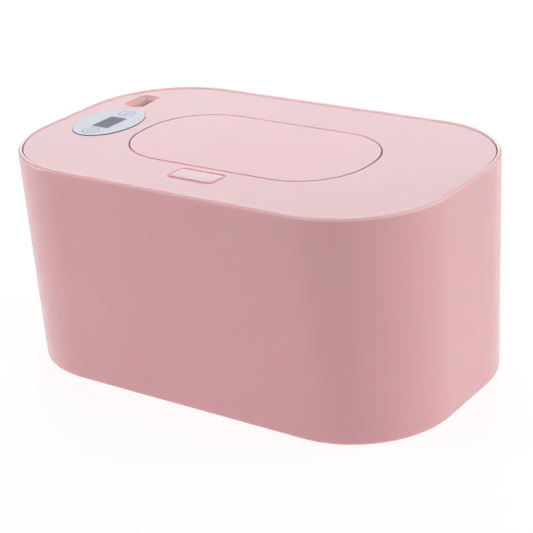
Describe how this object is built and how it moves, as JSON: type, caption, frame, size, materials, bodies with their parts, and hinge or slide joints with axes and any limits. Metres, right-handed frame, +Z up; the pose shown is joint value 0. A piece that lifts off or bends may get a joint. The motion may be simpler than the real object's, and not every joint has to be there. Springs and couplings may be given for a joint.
{
  "type": "baby wipe warmer",
  "caption": "Free-standing warmer for baby wipes: an oblong bucket with a lift-off heated cover, a sprung dispensing flap, a release button and a touch display.",
  "frame": {"origin": "on the floor, at the middle of the footprint", "axes": "+X along the length with the controls at the -X end, the front faces -Y, +Z up"},
  "size_m": [0.23, 0.1374, 0.1098],
  "materials": {
    "pink_gloss": "glossy moulded ABS, pale pink",
    "pink_satin": "satin moulded ABS, pale pink",
    "white_plastic": "moulded polypropylene, white",
    "foam": "closed-cell foam",
    "grey_rubber": "soft rubber",
    "silicone": "translucent white silicone",
    "steel": "zinc-plated steel",
    "aluminium_sheet": "mill finish sheet",
    "amber_film": "polyimide film with etched track",
    "green_board": "solder-masked glass-epoxy board",
    "black_plastic": "moulded black plastic",
    "tinned_metal": "tinned metal",
    "display_glass": "dark grey liquid crystal display",
    "lens": "pale bluish-silver printed lens",
    "red_wire": "silicone insulated wire",
    "black_wire": "thin insulated wire"
  },
  "bodies": {
    "root": {"outer_shell": "pink_gloss", "inner_tub": "white_plastic", "insulation_sleeve": "foam", "rubber_feet": "grey_rubber", "base_screws": "steel"},
    "cover": {"top_cover": "pink_gloss", "cover_liner": "white_plastic", "cover_gasket": "silicone", "liner_screws": "steel", "heater_plate": "aluminium_sheet", "heating_film": "amber_film", "heater_insulation": "foam", "control_pcb": "green_board", "pcb_components": "black_plastic", "lcd_holder": "white_plastic", "lcd_panel": "display_glass", "control_lens": "lens", "touch_springs": "steel", "pcb_screws": "steel", "usb_port": "steel", "usb_tongue": "black_plastic", "ntc_sensor": "black_plastic", "thermal_fuse": "tinned_metal", "heater_leads": "red_wire", "sensor_leads": "black_wire", "latch_guide": "white_plastic", "latch_guide_screws": "steel", "latch_spring": "steel", "flap_spring": "steel"},
    "flap": {"flap": "pink_gloss", "flap_inner_panel": "white_plastic", "flap_seal": "silicone", "flap_screws": "steel", "flap_hinge_pin": "steel"},
    "button": {"release_button": "pink_satin"},
    "latch": {"latch_slider": "white_plastic"}
  },
  "joints": [
    {"name": "cover_lift", "type": "slide", "parent": "root", "child": "cover", "axis": [0, 0, 1], "range_m": [0, 0.08]},
    {"name": "flap_hinge", "type": "hinge", "parent": "cover", "child": "flap", "pos_m": [0, 0.0396, 0.10625], "axis": [-1, 0, 0], "range_deg": [0, 95], "deforming": ["flap_spring"]},
    {"name": "button_press", "type": "slide", "parent": "cover", "child": "button", "axis": [0, 0, -1], "range_m": [0, 0.002], "stiffness_N_per_m": 600, "springref_m": -0.001},
    {"name": "latch_slide", "type": "slide", "parent": "cover", "child": "latch", "axis": [0, -1, 0], "range_m": [0, 0.002], "deforming": ["latch_spring"]}
  ],
  "couplings": [
    {"joint": "latch_slide", "follows": "button_press", "ratio": 1}
  ]
}
